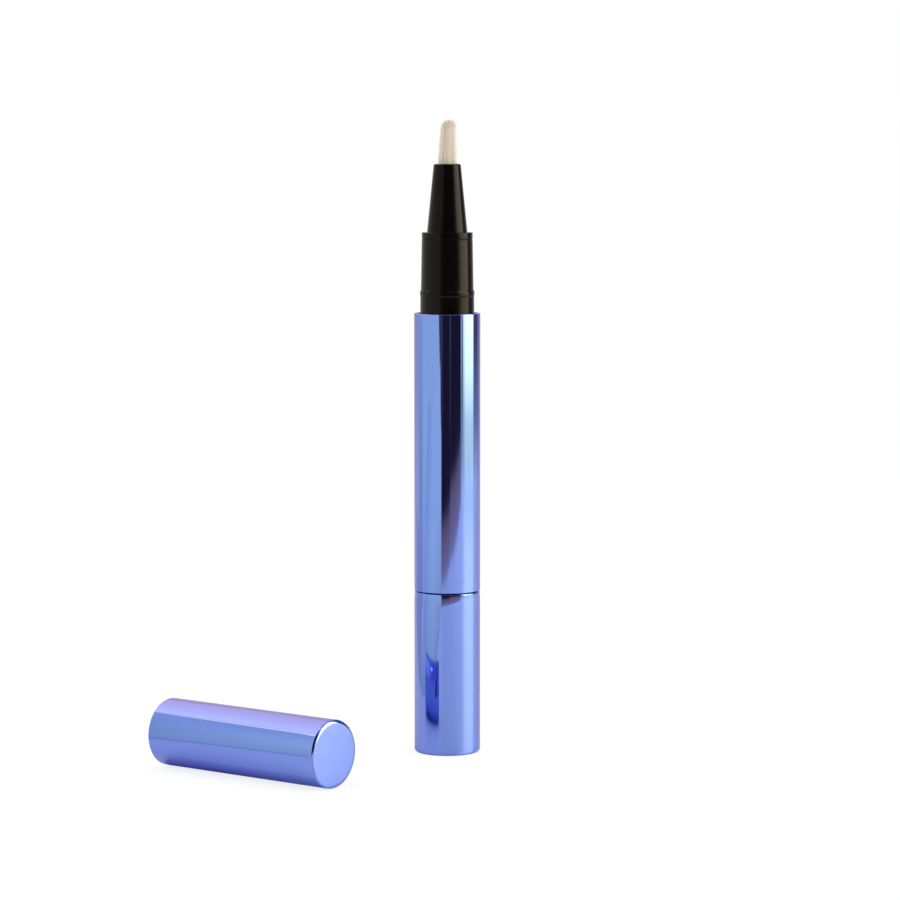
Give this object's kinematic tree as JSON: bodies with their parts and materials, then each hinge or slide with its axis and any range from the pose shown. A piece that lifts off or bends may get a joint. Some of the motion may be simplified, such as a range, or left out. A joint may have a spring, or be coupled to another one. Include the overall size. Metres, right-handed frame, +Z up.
{
  "type": "nail oil pen",
  "caption": "Twist-up nail oil pen standing on its knob: metallised barrel, black snap collar and cone, nylon brush tip, screw-driven piston inside, cap lying beside it.",
  "frame": {"origin": "middle of the knob's flat foot, on the surface that the pen stands on", "axes": "+Z up the pen axis from the knob to the brush; +X along the lying cap, from its mouth to its closed end"},
  "size_m": [0.038, 0.0531, 0.1151],
  "materials": {
    "metallised_shell": "mirror-bright lilac-blue anodised",
    "black_gloss": "moulded, glossy",
    "nylon_bristle": "fine translucent bristles",
    "natural_pp": "moulded, translucent",
    "white_pom": "moulded, smooth",
    "soft_pe": "moulded, waxy",
    "black_abs": "moulded, satin",
    "nitrile_rubber": "moulded, matt",
    "seal_foam": "die-cut, closed-cell"
  },
  "bodies": {
    "barrel": {"barrel_sleeve": "metallised_shell", "tail_bush": "white_pom", "ratchet_ring": "white_pom", "thread_nut": "white_pom", "reservoir_tube": "natural_pp", "collar": "black_gloss", "collar_o_ring": "nitrile_rubber", "feed_joint": "natural_pp", "feed_tube": "natural_pp", "nozzle": "black_gloss", "tuft_sleeve": "natural_pp", "brush_tuft": "nylon_bristle"},
    "knob": {"knob_shell": "metallised_shell", "knob_core": "black_abs", "knob_o_ring": "nitrile_rubber", "drive_sleeve": "white_pom", "pawl_ring": "white_pom"},
    "screw": {"lead_screw": "white_pom"},
    "piston": {"piston": "soft_pe"},
    "cap": {"cap_shell": "metallised_shell", "cap_liner": "natural_pp", "cap_seal": "seal_foam"}
  },
  "joints": [
    {"name": "knob_twist", "type": "hinge", "parent": "barrel", "child": "knob", "pos_m": [0, 0, 0.03], "axis": [0, 0, 1], "range_deg": [0, 5040], "deforming": ["pawl_ring"]},
    {"name": "screw_advance", "type": "slide", "parent": "knob", "child": "screw", "axis": [0, 0, 1], "range_m": [0, 0.028]},
    {"name": "piston_advance", "type": "slide", "parent": "barrel", "child": "piston", "axis": [0, 0, 1], "range_m": [0, 0.028]},
    {"name": "cap_lift", "type": "slide", "parent": "barrel", "child": "cap", "axis": [0, 0, 1], "range_m": [0, 0.12]}
  ],
  "couplings": [
    {"joint": "screw_advance", "follows": "knob_twist", "m_per_rad": 0.00031831},
    {"joint": "piston_advance", "follows": "knob_twist", "m_per_rad": 0.00031831}
  ]
}
